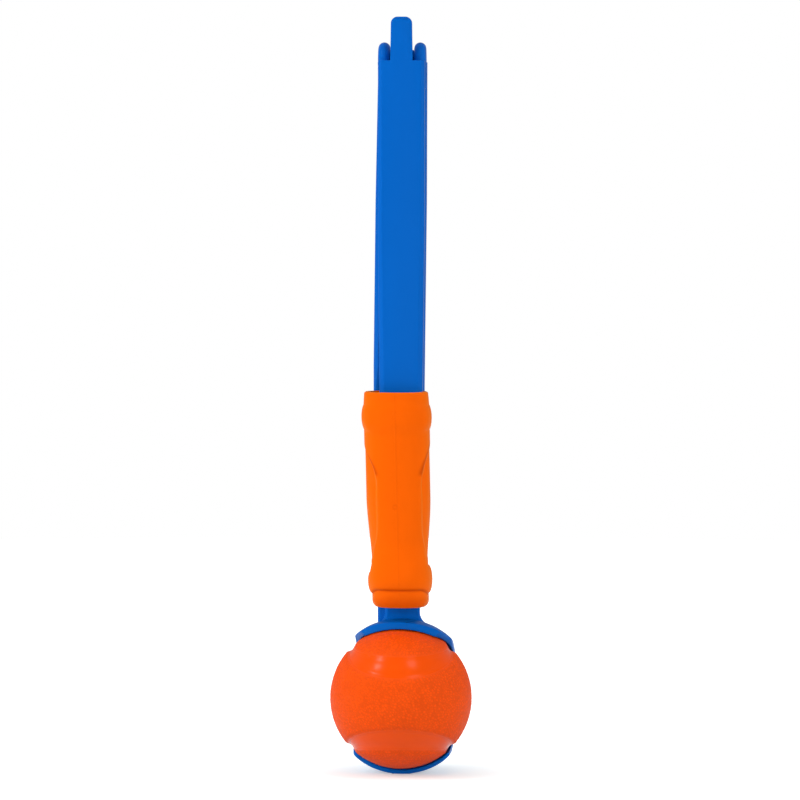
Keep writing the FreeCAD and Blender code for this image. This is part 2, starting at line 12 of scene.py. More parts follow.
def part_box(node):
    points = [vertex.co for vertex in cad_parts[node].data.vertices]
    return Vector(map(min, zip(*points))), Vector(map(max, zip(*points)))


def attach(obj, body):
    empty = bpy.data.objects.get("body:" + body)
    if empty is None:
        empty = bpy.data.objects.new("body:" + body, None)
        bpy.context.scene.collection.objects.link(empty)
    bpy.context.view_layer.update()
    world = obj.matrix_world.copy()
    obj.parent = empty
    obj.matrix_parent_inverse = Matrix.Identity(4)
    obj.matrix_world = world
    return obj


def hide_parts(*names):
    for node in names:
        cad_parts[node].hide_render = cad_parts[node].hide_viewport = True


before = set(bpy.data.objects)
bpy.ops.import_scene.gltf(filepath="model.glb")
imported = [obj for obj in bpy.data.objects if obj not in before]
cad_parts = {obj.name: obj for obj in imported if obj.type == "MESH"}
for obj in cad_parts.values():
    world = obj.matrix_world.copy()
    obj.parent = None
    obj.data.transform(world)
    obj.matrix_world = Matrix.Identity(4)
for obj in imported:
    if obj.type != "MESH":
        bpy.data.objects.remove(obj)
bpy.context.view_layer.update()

bl_info = {
    "name": "Folding Ball Launcher",
    "version": (1, 0, 0),
    "blender": (4, 5, 0),
    "location": "3D View > Sidebar > Ball Launcher",
    "description": "Builds the grip, the ball and the finishes of a folding ball launcher",
    "category": "Add Mesh",
}

MM = 0.001
BALL_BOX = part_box("ball")
SLEEVE_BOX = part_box("grip_sleeve")
CUP_ARM_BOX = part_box("cup_arm")

# A colour Mix node's sockets share their names with its number sockets, so they go by place.
MIX_FACTOR, MIX_A, MIX_B, MIX_RESULT = 0, 6, 7, 2

# The arms' moulded edges: what counts as an edge, and how close the bevel stays to the node.
MERGE_DISTANCE = 0.002 * MM
FLAT_ANGLE = math.radians(0.4)
EDGE_ANGLE = math.radians(24)
SHADING_ANGLE = math.radians(40)
BEVEL_STRAY_SHARE = 0.4

# Plain sleeve, measured up from its lower end.
SLEEVE_SQUARENESS = 2.6
PALM_FROM = 16.0 * MM
PALM_RUN = 34.0 * MM
MOUTH_DRAW = 0.5 * MM
MOUTH_DRAW_RUN = 8.0 * MM
END_ROUNDING = 2.8 * MM
END_ROUNDING_RISE = 3.2 * MM
MOUTH_ROUNDING = 0.7 * MM
MOUTH_ROUNDING_DROP = 0.9 * MM
TOE_DRAW = 1.6 * MM
TOE_DRAW_RISE = 8.0 * MM

# Beads and the crease under the lower one, at the sleeve's sides and at its front.
# A skew makes a form taller on the right than on the left.
CREASE_SIDES = 6.3 * MM
CREASE_FRONT = 8.4 * MM
CREASE_WIDTH = 0.6 * MM
CROWN_SIDES = 12.3 * MM
CROWN_SKEW = 0.5 * MM
CROWN_FRONT = 12.8 * MM
FADE_SIDES = 5.3 * MM
FADE_SKEW = 0.7 * MM
FADE_FRONT = 17.5 * MM
UPPER_BEAD_RISE = 85.4 * MM
UPPER_BEAD_HALF_SIDES = 5.5 * MM
UPPER_BEAD_HALF_FRONT = 6.3 * MM
UPPER_BEAD_FRONT_SHARE = 0.6
CORNER_SHARE = 0.4
CORNER_PLACE = 0.78
CORNER_SPREAD = 0.14

# Side pads: the share of their reach at the back and front, and the walls at their top, with the band
# of painted shade on them.
PAD_BACK_SHARE = 0.6
PAD_FRONT_SHARE = 0.92
PAD_FRONT_SKEW = 0.08
PAD_BLUNTNESS = 4
PAD_SINK = 0.35 * MM
PAD_SOFT_EDGE = 2.2 * MM
PAD_CRISP_EDGE = 2.3 * MM
PAD_CRISP_SKEW = 0.4 * MM
PAD_CRISP_FROM = 0.43
PAD_CRISP_RUN = 0.08
THUMB_REST_SINK = 0.5 * MM
THUMB_REST_FROM = 0.1
THUMB_REST_RUN = 0.25
PAD_WALL_INSET = 0.2 * MM
PAD_WALL_HALF = 1.3 * MM
PAD_WALL_SKEW = 0.3 * MM

# Marks of the mould: a raised line down the front and the ring of the gate.
MOULD_LINE_HALF = math.radians(2)
MOULD_LINE_HEIGHT = 0.1 * MM
GATE_X = -2.0 * MM
GATE_RISE = 45.7 * MM
GATE_RADIUS = 0.9 * MM
GATE_LINE_WIDTH = 0.4 * MM
GATE_DEPTH = 0.12 * MM

# How dark each form is painted, from 0 to 1: dirt on the mould's line and gate mark, painted shade in
# the crease under the lower bead, on the pad walls and on the collar at the foot.
LINE_DIRT = 0.1
GATE_DIRT = 0.16
CREASE_PAINTED_SHADE = 0.7
WALL_PAINTED_SHADE = 0.7
# Painted shade on the collar at the sleeve's foot, fading out upwards.
TOE_PAINTED_SHADE = 0.36
TOE_PAINTED_SHADE_FROM = 7.0 * MM
TOE_PAINTED_SHADE_RUN = 5.0 * MM

# Inside the sleeve's mouth: its rim's rounding, and the shoulder round the arm at its foot.
RIM_ROUNDING = 0.35 * MM
MOUTH_TAPER = 1.2 * MM
MOUTH_DEPTH = 10.0 * MM
SHOULDER_HALF = 9.7 * MM
SHOULDER_FRONT = -8.8 * MM
SHOULDER_BACK = 2.8 * MM
SHOULDER_DROP = 1.0 * MM
SLEEVE_SIDES = 168
SLEEVE_CUTS = 290

# Edges of the ball's channels: height at the front of the ball and how fast it falls to the sides.
WAIST_EDGE = 21.4 * MM
WAIST_FALL = 0.38
CAP_EDGE = 23.8 * MM
CAP_FALL = 0.12
EDGE_EASE = 4.0 * MM
BALL_CUTS = 126
PEBBLE_STEEPNESS = 1.8

# Camera, and the lamps: name, direction from the launcher, side in metres, watts, shows in gloss.
CAMERA_TURN = math.radians(2.5)
CAMERA_ROLL = math.radians(0.1)
CAMERA_LENS = 220.5
AIM_X = -0.67 * MM
LAMP_AIM = (0, 0, 0.1)
FLOOR_RADIUS = 1.4
LAMPS = (
    ("left_softbox", (-0.88, -0.29, 0.38), 0.9, 14.0, False),
    ("right_softbox", (0.88, -0.29, 0.38), 0.9, 8.0, False),
    ("front_softbox", (0.05, -1.0, 0.08), 0.4, 5.5, False),
    ("key_lamp", (-0.55, -0.31, 0.72), 0.2, 2.2, True),
    ("fill_lamp", (0.28, -0.38, 0.83), 0.32, 1.5, True),
)


def linear(hex_colour):
    """Linear RGB of an sRGB hex colour."""
    channels = (int(hex_colour[i:i + 2], 16) / 255 for i in (1, 3, 5))
    return tuple(c / 12.92 if c <= 0.04045 else ((c + 0.055) / 1.055) ** 2.4 for c in channels)


def length(name, description, default):
    """A length setting in metres."""
    return FloatProperty(name=name, description=description, default=default, unit="LENGTH",
                         precision=5)


def colour(name, description, hex_colour):
    """A colour setting from an sRGB hex value."""
    return FloatVectorProperty(name=name, description=description, default=linear(hex_colour),
                               subtype="COLOR", size=3, min=0, max=1)


class ArmSettings(bpy.types.PropertyGroup):
    """Finish of the two moulded arms and of the pin between them."""
    plastic: colour("Plastic", "Colour of the moulded arms", "#005EBA")
    steel: colour("Steel", "Colour of the hinge pin", "#B9BCC0")
    edge_radius: length("Edge radius", "Rounding of the arms' moulded edges", 0.3 * MM)


class GripSettings(bpy.types.PropertyGroup):
    """Sizes and colour of the soft grip sleeve."""
    colour: colour("Elastomer", "Colour of the soft grip", "#F45D00")
    # This colour is dirt on the mould's marks and painted shade in the crease, on the pad walls and on
    # the collar.
    grime_and_painted_shade: colour("Grime", "Colour of the dirt in the grip's creases", "#B82C00")
    low: length("Lower end", "Height of the sleeve's lower end", SLEEVE_BOX[0].z)
    high: length("Mouth", "Height of the sleeve's mouth", SLEEVE_BOX[1].z)
    middle: length("Middle", "Depth of the sleeve's middle line", -2.7 * MM)
    end_half: length("Lower half width", "Half the sleeve's width below the palm", 12.7 * MM)
    palm_half: length("Palm half width", "Half the sleeve's width at the palm", 14.75 * MM)
    front: length("Front depth", "From the middle line to the front", 14.0 * MM)
    back: length("Back depth", "From the middle line to the back", 9.0 * MM)
    lean: length("Lean", "How far the mouth stands to the left of the lower end", 2.3 * MM)
    lower_bead: length("Lower bead", "How far the lower bead stands out", 1.8 * MM)
    upper_bead: length("Upper bead", "How far the upper bead stands out", 1.0 * MM)
    pad_low: length("Pad foot", "Height of the lower end of the side pads", 59.2 * MM)
    pad_high: length("Pad top", "Height of the upper end of the side pads", 116.6 * MM)
    pad_reach: length("Pad reach", "How far the pads wrap round to the front", 12.3 * MM)
    wall: length("Rim wall", "Thickness of the sleeve at its mouth", 2.2 * MM)


class BallSettings(bpy.types.PropertyGroup):
    """Sizes and colour of the rubber ball."""
    colour: colour("Rubber", "Colour of the ball", "#F04E00")
    radius: length("Radius", "Radius over the pebbled skin", BALL_BOX[1].x)
    front_depth: length("Front channel depth", "Depth of the channels at the front", 0.8 * MM)
    side_depth: length("Side channel depth", "Depth of the channels at the sides", 1.2 * MM)
    pebble: length("Pebble size", "Width of one pebble of the skin", 1.15 * MM)
    pebble_height: length("Pebble height", "Height of the pebbles", 0.14 * MM)


class StageSettings(bpy.types.PropertyGroup):
    """Camera, floor and studio light."""
    floor: colour("Floor", "Colour of the floor", "#D6DEDE")
    distance: length("Camera distance", "From the camera to the launcher", 2.2)
    camera_height: length("Camera height", "Height of the camera", 0.24)
    aim_height: length("Aim height", "Height of the point at the middle of the frame", 0.1343)
    lamp_distance: length("Lamp distance", "From the lamps to the launcher", 1.5)


def add(tree, kind, inputs=None, **settings):
    """Add a shader node with its settings, input values and links."""
    made = tree.nodes.new(kind)
    for key, value in settings.items():
        setattr(made, key, value)
    for socket, value in (inputs or {}).items():
        if isinstance(value, bpy.types.NodeSocket):
            tree.links.new(value, made.inputs[socket])
        else:
            made.inputs[socket].default_value = value
    return made


def new_material(name):
    """An empty node material and its tree."""
    material = bpy.data.materials.new(name)
    material.use_nodes = True
    material.node_tree.nodes.clear()
    return material, material.node_tree


def shades(tree, fac, base, spread):
    """A colour that drifts between a little darker and a little lighter than its base."""
    ramp = add(tree, "ShaderNodeValToRGB", {"Fac": fac})
    ramp.color_ramp.elements[0].color = (*(c * (1 - spread) for c in base), 1)
    ramp.color_ramp.elements[1].color = (*(min(1, c * (1 + spread)) for c in base), 1)
    return ramp.outputs["Color"]


def moulded_polypropylene(base):
    """Injection-moulded polypropylene: a waxy satin skin with a fine spark-eroded grain."""
    material, tree = new_material("moulded_polypropylene")
    place = add(tree, "ShaderNodeTexCoord").outputs["Object"]
    # Flow of the melt: soft clouds about 25 mm across, stretched along the arm.
    stretched = add(tree, "ShaderNodeMapping", {"Vector": place, "Scale": (1, 1, 0.3)})
    flow = add(tree, "ShaderNodeTexNoise", {"Vector": stretched.outputs["Vector"],
                                            "Scale": 1 / (25 * MM), "Detail": 2.0})
    # Mould grain: 0.15 mm on the real part, drawn 0.7 mm wide so that it shows.
    grain = add(tree, "ShaderNodeTexNoise", {"Vector": place, "Scale": 1 / (0.7 * MM), "Detail": 3.0})
    # Witness line where the mould's halves met, 0.4 mm wide down the middle.
    across = add(tree, "ShaderNodeSeparateXYZ", {"Vector": place}).outputs["X"]
    off_line = add(tree, "ShaderNodeMath", {0: across}, operation="ABSOLUTE").outputs["Value"]
    line = add(tree, "ShaderNodeMapRange", {
        "Value": off_line, "From Min": 0.05 * MM, "From Max": 0.4 * MM,
        "To Min": 1.5, "To Max": 0.0}).outputs["Result"]
    relief = add(tree, "ShaderNodeMath", {0: grain.outputs["Fac"], 1: line}, operation="ADD")
    bump = add(tree, "ShaderNodeBump", {"Height": relief.outputs["Value"], "Strength": 0.15,
                                        "Distance": 0.05 * MM})
    satin = add(tree, "ShaderNodeMapRange", {"Value": flow.outputs["Fac"],
                                             "To Min": 0.3, "To Max": 0.42})
    skin = add(tree, "ShaderNodeBsdfPrincipled", {
        "Base Color": shades(tree, flow.outputs["Fac"], base, 0.05),
        "Roughness": satin.outputs["Result"], "IOR": 1.49, "Specular IOR Level": 0.08,
        "Normal": bump.outputs["Normal"]})
    add(tree, "ShaderNodeOutputMaterial", {"Surface": skin.outputs["BSDF"]})
    return material


def soft_elastomer(base, grime_and_painted_shade):
    """Overmoulded thermoplastic elastomer: matt, dense and a little waxy at the edges."""
    material, tree = new_material("overmoulded_elastomer")
    place = add(tree, "ShaderNodeTexCoord").outputs["Object"]
    mottle = add(tree, "ShaderNodeTexNoise", {"Vector": place, "Scale": 1 / (12 * MM), "Detail": 3.0})
    # Fine matt skin: 0.1 mm on the real grip, drawn 0.6 mm wide so that it shows.
    skin_grain = add(tree, "ShaderNodeTexNoise", {"Vector": place, "Scale": 1 / (0.6 * MM),
                                                  "Detail": 2.0})
    bump = add(tree, "ShaderNodeBump", {"Height": skin_grain.outputs["Fac"], "Strength": 0.15,
                                        "Distance": 0.05 * MM})
    matt = add(tree, "ShaderNodeMapRange", {"Value": mottle.outputs["Fac"],
                                            "To Min": 0.42, "To Max": 0.55})
    # The crease attribute mixes in the grime colour: dirt on the mould's line and the gate mark, and
    # painted shade in the crease under the lower bead, on the pad walls and on the collar.
    crease = add(tree, "ShaderNodeAttribute", attribute_name="crease").outputs["Fac"]
    clean = shades(tree, mottle.outputs["Fac"], base, 0.04)
    dirty_and_shaded = add(tree, "ShaderNodeMix", {MIX_FACTOR: crease, MIX_A: clean, MIX_B: (*grime_and_painted_shade, 1)},
               data_type="RGBA")
    skin = add(tree, "ShaderNodeBsdfPrincipled", {
        "Base Color": dirty_and_shaded.outputs[MIX_RESULT], "Roughness": matt.outputs["Result"],
        "Sheen Weight": 0.3, "Sheen Roughness": 0.6, "Sheen Tint": (1.0, 0.5, 0.0, 1.0),
        "IOR": 1.5, "Specular IOR Level": 0.05, "Normal": bump.outputs["Normal"]})
    add(tree, "ShaderNodeOutputMaterial", {"Surface": skin.outputs["BSDF"]})
    return material


def ball_rubber(base):
    """Moulded natural rubber: a matt pebbled skin, and glossy channels where the mould was polished."""
    material, tree = new_material("moulded_natural_rubber")
    place = add(tree, "ShaderNodeTexCoord").outputs["Object"]
    pebbled = add(tree, "ShaderNodeAttribute", attribute_name="pebbled").outputs["Fac"]
    tops = add(tree, "ShaderNodeAttribute", attribute_name="pebble_top").outputs["Fac"]
    mottle = add(tree, "ShaderNodeTexNoise", {"Vector": place, "Scale": 1 / (8 * MM), "Detail": 3.0})
    # Painted shade between the pebbles and painted light on their tops, over a random cloudy tone.
    cloud = add(tree, "ShaderNodeMath", {0: mottle.outputs["Fac"], 1: 0.3},
                operation="MULTIPLY").outputs["Value"]
    shade = add(tree, "ShaderNodeMath", {0: tops, 1: 0.7, 2: cloud}, operation="MULTIPLY_ADD")
    # Fine wrinkles on the pebbles: 0.2 mm on the real skin, drawn 0.5 mm wide so that they show.
    wrinkles = add(tree, "ShaderNodeTexNoise", {"Vector": place, "Scale": 1 / (0.5 * MM),
                                                "Detail": 2.0})
    height = add(tree, "ShaderNodeMath", {0: wrinkles.outputs["Fac"], 1: pebbled}, operation="MULTIPLY")
    bump = add(tree, "ShaderNodeBump", {"Height": height.outputs["Value"], "Strength": 0.5,
                                        "Distance": 0.1 * MM})
    rough = add(tree, "ShaderNodeMapRange", {"Value": pebbled, "To Min": 0.22, "To Max": 0.6})
    skin = add(tree, "ShaderNodeBsdfPrincipled", {
        "Base Color": shades(tree, shade.outputs["Value"], base, 0.18),
        "Roughness": rough.outputs["Result"], "IOR": 1.52, "Specular IOR Level": 0.16,
        "Normal": bump.outputs["Normal"]})
    add(tree, "ShaderNodeOutputMaterial", {"Surface": skin.outputs["BSDF"]})
    return material


def drawn_steel(base):
    """Drawn and ground steel: fine scratches round the pin over a bright grey metal."""
    material, tree = new_material("drawn_steel")
    place = add(tree, "ShaderNodeTexCoord").outputs["Object"]
    # Grinding marks round the pin, about 0.2 mm apart along it.
    along = add(tree, "ShaderNodeMapping", {"Vector": place, "Scale": (1, 0.1, 0.1)}).outputs["Vector"]
    marks = add(tree, "ShaderNodeTexNoise", {"Vector": along, "Scale": 1 / (0.2 * MM), "Detail": 2.0})
    bump = add(tree, "ShaderNodeBump", {"Height": marks.outputs["Fac"], "Strength": 0.1,
                                        "Distance": 0.02 * MM})
    rough = add(tree, "ShaderNodeMapRange", {"Value": marks.outputs["Fac"],
                                             "To Min": 0.2, "To Max": 0.35})
    skin = add(tree, "ShaderNodeBsdfPrincipled", {
        "Base Color": (*base, 1), "Metallic": 1.0, "Roughness": rough.outputs["Result"],
        "Normal": bump.outputs["Normal"]})
    add(tree, "ShaderNodeOutputMaterial", {"Surface": skin.outputs["BSDF"]})
    return material


def finish_node(name, material):
    """Give a CAD node its finish."""
    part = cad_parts[name]
    part.data.materials.clear()
    part.data.materials.append(material)
    return part


def finish_piece(bm, name, body, node, material):
    """Make a finished mesh a piece that rides on a body and stands for a CAD node."""
    bmesh.ops.recalc_face_normals(bm, faces=bm.faces)
    mesh = bpy.data.meshes.new(name)
    bm.to_mesh(mesh)
    bm.free()
    mesh.shade_smooth()
    mesh.materials.append(material)
    piece = bpy.data.objects.new(name, mesh)
    bpy.context.collection.objects.link(piece)
    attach(piece, body)
    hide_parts(node)
    return piece


def round_edges(node, radius):
    """A merged copy of a CAD node's mesh with its edges rounded as a mould leaves them."""
    bm = bmesh.new()
    bm.from_mesh(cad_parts[node].data)
    bmesh.ops.remove_doubles(bm, verts=bm.verts, dist=MERGE_DISTANCE)
    surface = BVHTree.FromBMesh(bm)
    bmesh.ops.dissolve_limit(bm, angle_limit=FLAT_ANGLE, verts=bm.verts, edges=bm.edges)
    sharp = [edge for edge in bm.edges if edge.calc_face_angle(0) > EDGE_ANGLE]
    bmesh.ops.bevel(bm, geom=sharp, affect="EDGES", offset=radius, segments=2, profile=0.5,
                    material=-1)
    # Where edges meet at a slant the bevel overshoots: such points go back onto the node's surface.
    for vert in bm.verts:
        nearest, _, _, gap = surface.find_nearest(vert.co)
        if gap > BEVEL_STRAY_SHARE * radius:
            vert.co = nearest
    bmesh.ops.triangulate(bm, faces=bm.faces)
    return bm


def smooth_step(value):
    """0 below 0, 1 above 1 and a smooth ramp between."""
    value = min(1.0, max(0.0, value))
    return value * value * (3 - 2 * value)


def mix(first, second, share):
    """The first value at share 0, the second at share 1."""
    return first + (second - first) * share


def quarter_round(share):
    """0 at share 0 and 1 at share 1, as a quarter circle that starts steep."""
    share = min(1.0, max(0.0, share))
    return math.sqrt(1 - (1 - share) ** 2)


def oval_reach(turn, half_width, depth, squareness):
    """Distance from the middle of a squared-off oval to its edge in one direction."""
    across = abs(math.cos(turn) / half_width) ** squareness
    deep = abs(math.sin(turn) / depth) ** squareness
    return (across + deep) ** (-1 / squareness)


def sleeve_girth(rise, grip):
    """Half the plain sleeve's width and how far its ends are rounded in, at one height."""
    half = mix(grip.end_half, grip.palm_half, smooth_step((rise - PALM_FROM) / PALM_RUN))
    to_mouth = grip.high - grip.low - rise
    half -= MOUTH_DRAW * max(0.0, 1 - to_mouth / MOUTH_DRAW_RUN) ** 2
    rounding = END_ROUNDING * (1 - quarter_round(rise / END_ROUNDING_RISE))
    rounding += MOUTH_ROUNDING * (1 - quarter_round(to_mouth / MOUTH_ROUNDING_DROP))
    return half, rounding


def frontness(turn):
    """1 at the sleeve's front and 0 at its sides and back."""
    return smooth_step((-math.sin(turn) - 0.35) / 0.45)


def crease_height(turn):
    """Height of the crease under the lower bead: it stands higher at the front."""
    return mix(CREASE_SIDES, CREASE_FRONT, frontness(turn))


def bead_swell(turn, rise, grip):
    """How far the two beads stand out of the plain sleeve in one direction and at one height."""
    front = frontness(turn)
    crease = crease_height(turn)
    crown = mix(CROWN_SIDES + CROWN_SKEW * math.cos(turn), CROWN_FRONT, front)
    fade = mix(FADE_SIDES + FADE_SKEW * math.cos(turn), FADE_FRONT, front)
    if rise < crown:
        lower = quarter_round((rise - crease) / (crown - crease))
    else:
        left = 1 - (rise - crown) / fade
        lower = mix(quarter_round(left), smooth_step(left), front)
    share = (rise - UPPER_BEAD_RISE) / mix(UPPER_BEAD_HALF_SIDES, UPPER_BEAD_HALF_FRONT, front)
    sides = max(0.0, 1 - share * share) ** 0.8
    soft = smooth_step(1.35 - abs(share))
    upper = mix(sides, UPPER_BEAD_FRONT_SHARE * soft, front)
    if math.sin(turn) < 0:
        off_corner = (abs(math.cos(turn)) - CORNER_PLACE) / CORNER_SPREAD
        upper += CORNER_SHARE * soft * math.exp(-off_corner ** 2)
    return grip.lower_bead * lower + grip.upper_bead * upper


def pad_sink(turn, z, grip):
    """Whether a point lies in a side pad: its share, the thumb rest's depth and the painted shade on
    its wall at the top.
    """
    height = 2 * (z - grip.pad_low) / (grip.pad_high - grip.pad_low) - 1
    if abs(height) >= 1:
        return 0.0, 0.0, 0.0
    side, depth = math.cos(turn), math.sin(turn)
    reach = grip.pad_reach * mix(PAD_BACK_SHARE, PAD_FRONT_SHARE - PAD_FRONT_SKEW * side,
                                 smooth_step(0.5 - 2 * depth))
    edge = reach * (1 - height ** PAD_BLUNTNESS)
    slope = 2 * PAD_BLUNTNESS * reach * height ** (PAD_BLUNTNESS - 1) / (grip.pad_high - grip.pad_low)
    inside = (edge - abs(grip.front * depth)) / math.hypot(1, slope)
    crisp = smooth_step((height - PAD_CRISP_FROM) / PAD_CRISP_RUN)
    share = smooth_step(inside / mix(PAD_SOFT_EDGE, PAD_CRISP_EDGE + PAD_CRISP_SKEW * side, crisp))
    rest = smooth_step((height - THUMB_REST_FROM) / THUMB_REST_RUN) * smooth_step((-depth - 0.2) / 0.4)
    # Painted shade on the pad's crisp top wall, in a band just inside its edge.
    off_wall = abs(inside - PAD_WALL_INSET) / (PAD_WALL_HALF + PAD_WALL_SKEW * side)
    return share, THUMB_REST_SINK * rest * share, crisp * smooth_step(1 - off_wall)


def mould_marks(turn, x, rise):
    """The line that the mould left down the sleeve's front, and the ring of its gate."""
    line = max(0.0, 1 - abs(turn + math.pi / 2) / MOULD_LINE_HALF)
    ring = (math.hypot(x - GATE_X, rise - GATE_RISE) - GATE_RADIUS) / GATE_LINE_WIDTH
    return line, math.exp(-ring * ring) if math.sin(turn) < 0 else 0.0


def sleeve_point(turn, rise, grip):
    """A point of the sleeve's outside, by direction and height, and how much dirt and painted shade it
    holds.
    """
    z = grip.low + rise
    half, rounding = sleeve_girth(rise, grip)
    swell = bead_swell(turn, rise, grip)
    depth = (grip.back if math.sin(turn) > 0 else grip.front + swell) - rounding
    depth -= TOE_DRAW * smooth_step((TOE_DRAW_RISE - rise) / TOE_DRAW_RISE) * frontness(turn)
    half += swell - rounding
    reach = oval_reach(turn, half, depth, SLEEVE_SQUARENESS)
    share, rest, wall = pad_sink(turn, z, grip)
    if share > 0:
        sunk = oval_reach(turn, half - PAD_SINK, depth - PAD_SINK, 2.0)
        reach = mix(reach, sunk, share) - rest
    lean = -grip.lean * rise / (grip.high - grip.low)
    line, ring = mould_marks(turn, reach * math.cos(turn) + lean, rise)
    reach += MOULD_LINE_HEIGHT * line - GATE_DEPTH * ring
    # Painted shade in the crease under the lower bead, on the pad walls and on the collar at the foot;
    # dirt on the mould's line and the gate ring.
    crease = math.exp(-((rise - crease_height(turn)) / CREASE_WIDTH) ** 2)
    toe = smooth_step((TOE_PAINTED_SHADE_FROM - rise) / TOE_PAINTED_SHADE_RUN)
    dirt_and_painted_shade = max(LINE_DIRT * line, GATE_DIRT * ring, CREASE_PAINTED_SHADE * crease, WALL_PAINTED_SHADE * wall,
               TOE_PAINTED_SHADE * toe)
    return Vector((reach * math.cos(turn) + lean, grip.middle + reach * math.sin(turn), z)), dirt_and_painted_shade


def extrude_ring(bm, edges, place):
    """Extrude a ring of edges and move each new vertex to its place."""
    made = bmesh.ops.extrude_edge_only(bm, edges=edges)["geom"]
    for vert in (item for item in made if isinstance(item, bmesh.types.BMVert)):
        vert.co = place(vert.co)
    return [item for item in made if isinstance(item, bmesh.types.BMEdge)]


def ring_at(bm, z):
    """The edges of the ring that lies at a height."""
    return [edge for edge in bm.edges if all(abs(vert.co.z - z) < 1e-7 for vert in edge.verts)]


def shape_sleeve(grip):
    """The sleeve: a tube with beads and pads, turned in at the mouth down to the arm."""
    span = grip.high - grip.low
    bm = bmesh.new()
    bmesh.ops.create_cone(bm, cap_ends=False, segments=SLEEVE_SIDES, radius1=1, radius2=1, depth=span,
                          matrix=Matrix.Translation((0, 0, span / 2)))
    upright = [edge for edge in bm.edges if abs(edge.verts[0].co.z - edge.verts[1].co.z) > span / 2]
    bmesh.ops.subdivide_edges(bm, edges=upright, cuts=SLEEVE_CUTS, use_grid_fill=True)
    # The crease layer carries the dirt and painted shade that the grip's material mixes in.
    crease = bm.verts.layers.float.new("crease")
    for vert in bm.verts:
        vert.co, vert[crease] = sleeve_point(math.atan2(vert.co.y, vert.co.x), vert.co.z, grip)

    middle = Vector((-grip.lean, grip.middle, 0))

    def inward(amount, down):
        def place(point):
            flat = Vector((point.x, point.y, 0)) - middle
            flat -= flat.normalized() * amount
            return Vector((middle.x + flat.x, middle.y + flat.y, point.z - down))
        return place

    def to_shoulder(point):
        return Vector((min(SHOULDER_HALF, max(-SHOULDER_HALF, point.x)),
                       min(SHOULDER_BACK, max(SHOULDER_FRONT, point.y)), point.z - SHOULDER_DROP))

    edges = ring_at(bm, grip.high)
    for amount, down in ((RIM_ROUNDING, 0.0), (grip.wall - 2 * RIM_ROUNDING, 0.0),
                         (RIM_ROUNDING, RIM_ROUNDING), (MOUTH_TAPER, MOUTH_DEPTH)):
        edges = extrude_ring(bm, edges, inward(amount, down))
    bmesh.ops.holes_fill(bm, edges=extrude_ring(bm, edges, to_shoulder))
    bmesh.ops.holes_fill(bm, edges=ring_at(bm, grip.low))
    return bm


def channel_edges(y):
    """Heights of the waist's and the cap's edge beside a smooth channel, at a depth on the ball."""
    eased = math.hypot(y, EDGE_EASE) - EDGE_EASE
    return WAIST_EDGE - WAIST_FALL * eased, CAP_EDGE - CAP_FALL * eased


def channel_share(point, ball):
    """How far a point of the ball lies in a channel, and how far it is off the pebbled skin."""
    waist, cap = channel_edges(point.y)
    front = abs(point.y) / ball.radius
    over_waist = abs(point.z) - waist
    under_cap = cap - abs(point.z)
    sunk = smooth_step(0.5 + over_waist / mix(2.0 * MM, 3.6 * MM, front))
    sunk *= smooth_step(0.5 + under_cap / mix(3.2 * MM, 5.0 * MM, front))
    bare = smooth_step(0.5 + min(over_waist, under_cap) / (1.6 * MM))
    return sunk, bare


def shape_ball(ball):
    """The ball's outside: a pebbled waist and caps with smooth channels sunk between them."""
    bm = bmesh.new()
    bmesh.ops.create_cube(bm, size=2)
    bmesh.ops.subdivide_edges(bm, edges=bm.edges, cuts=BALL_CUTS, use_grid_fill=True)
    pebbled = bm.verts.layers.float.new("pebbled")
    pebble_top = bm.verts.layers.float.new("pebble_top")
    for vert in bm.verts:
        tangent = Vector(math.tan(math.pi / 4 * c) for c in vert.co)
        point = tangent.normalized() * ball.radius
        sunk, bare = channel_share(point, ball)
        near, far = noise.voronoi(point / ball.pebble)[0][:2]
        top = smooth_step(PEBBLE_STEEPNESS * (far - near))
        depth = sunk * mix(ball.side_depth, ball.front_depth, abs(point.y) / ball.radius)
        depth += (1 - bare) * (1 - top) * ball.pebble_height
        vert.co = point * (1 - depth / ball.radius)
        vert[pebbled] = 1 - bare
        # The pebble tops set the painted shade between the pebbles and the painted light on their tops;
        # the channels take the middle tone.
        vert[pebble_top] = mix(top, 0.5, bare)
    return bm


class LAUNCHER_OT_arms(bpy.types.Operator):
    """Round and finish the two moulded arms"""
    bl_idname = "launcher.arms"
    bl_label = "Build Arms"

    def execute(self, context):
        arms = context.scene.launcher_arms
        plastic = moulded_polypropylene(arms.plastic)
        for name, body, node in (("cup_moulding", "cup_arm", "cup_arm"),
                                 ("handle_moulding", "handle", "handle_arm")):
            piece = finish_piece(round_edges(node, arms.edge_radius), name, body,
                                 node, plastic)
            piece.data.set_sharp_from_angle(angle=SHADING_ANGLE)
        return {"FINISHED"}


class LAUNCHER_OT_pin(bpy.types.Operator):
    """Finish the steel hinge pin"""
    bl_idname = "launcher.pin"
    bl_label = "Finish Hinge Pin"

    def execute(self, context):
        finish_node("pivot_pin", drawn_steel(context.scene.launcher_arms.steel))
        return {"FINISHED"}


class LAUNCHER_OT_grip(bpy.types.Operator):
    """Build the soft grip sleeve with its beads and side pads"""
    bl_idname = "launcher.grip"
    bl_label = "Build Grip"

    def execute(self, context):
        grip = context.scene.launcher_grip
        finish_piece(shape_sleeve(grip), "soft_grip", "handle", "grip_sleeve",
                     soft_elastomer(grip.colour, grip.grime_and_painted_shade))
        return {"FINISHED"}


class LAUNCHER_OT_ball(bpy.types.Operator):
    """Build the pebbled rubber ball"""
    bl_idname = "launcher.ball"
    bl_label = "Build Ball"

    def execute(self, context):
        ball = context.scene.launcher_ball
        finish_piece(shape_ball(ball), "rubber_ball", "ball", "ball",
                     ball_rubber(ball.colour))
        return {"FINISHED"}


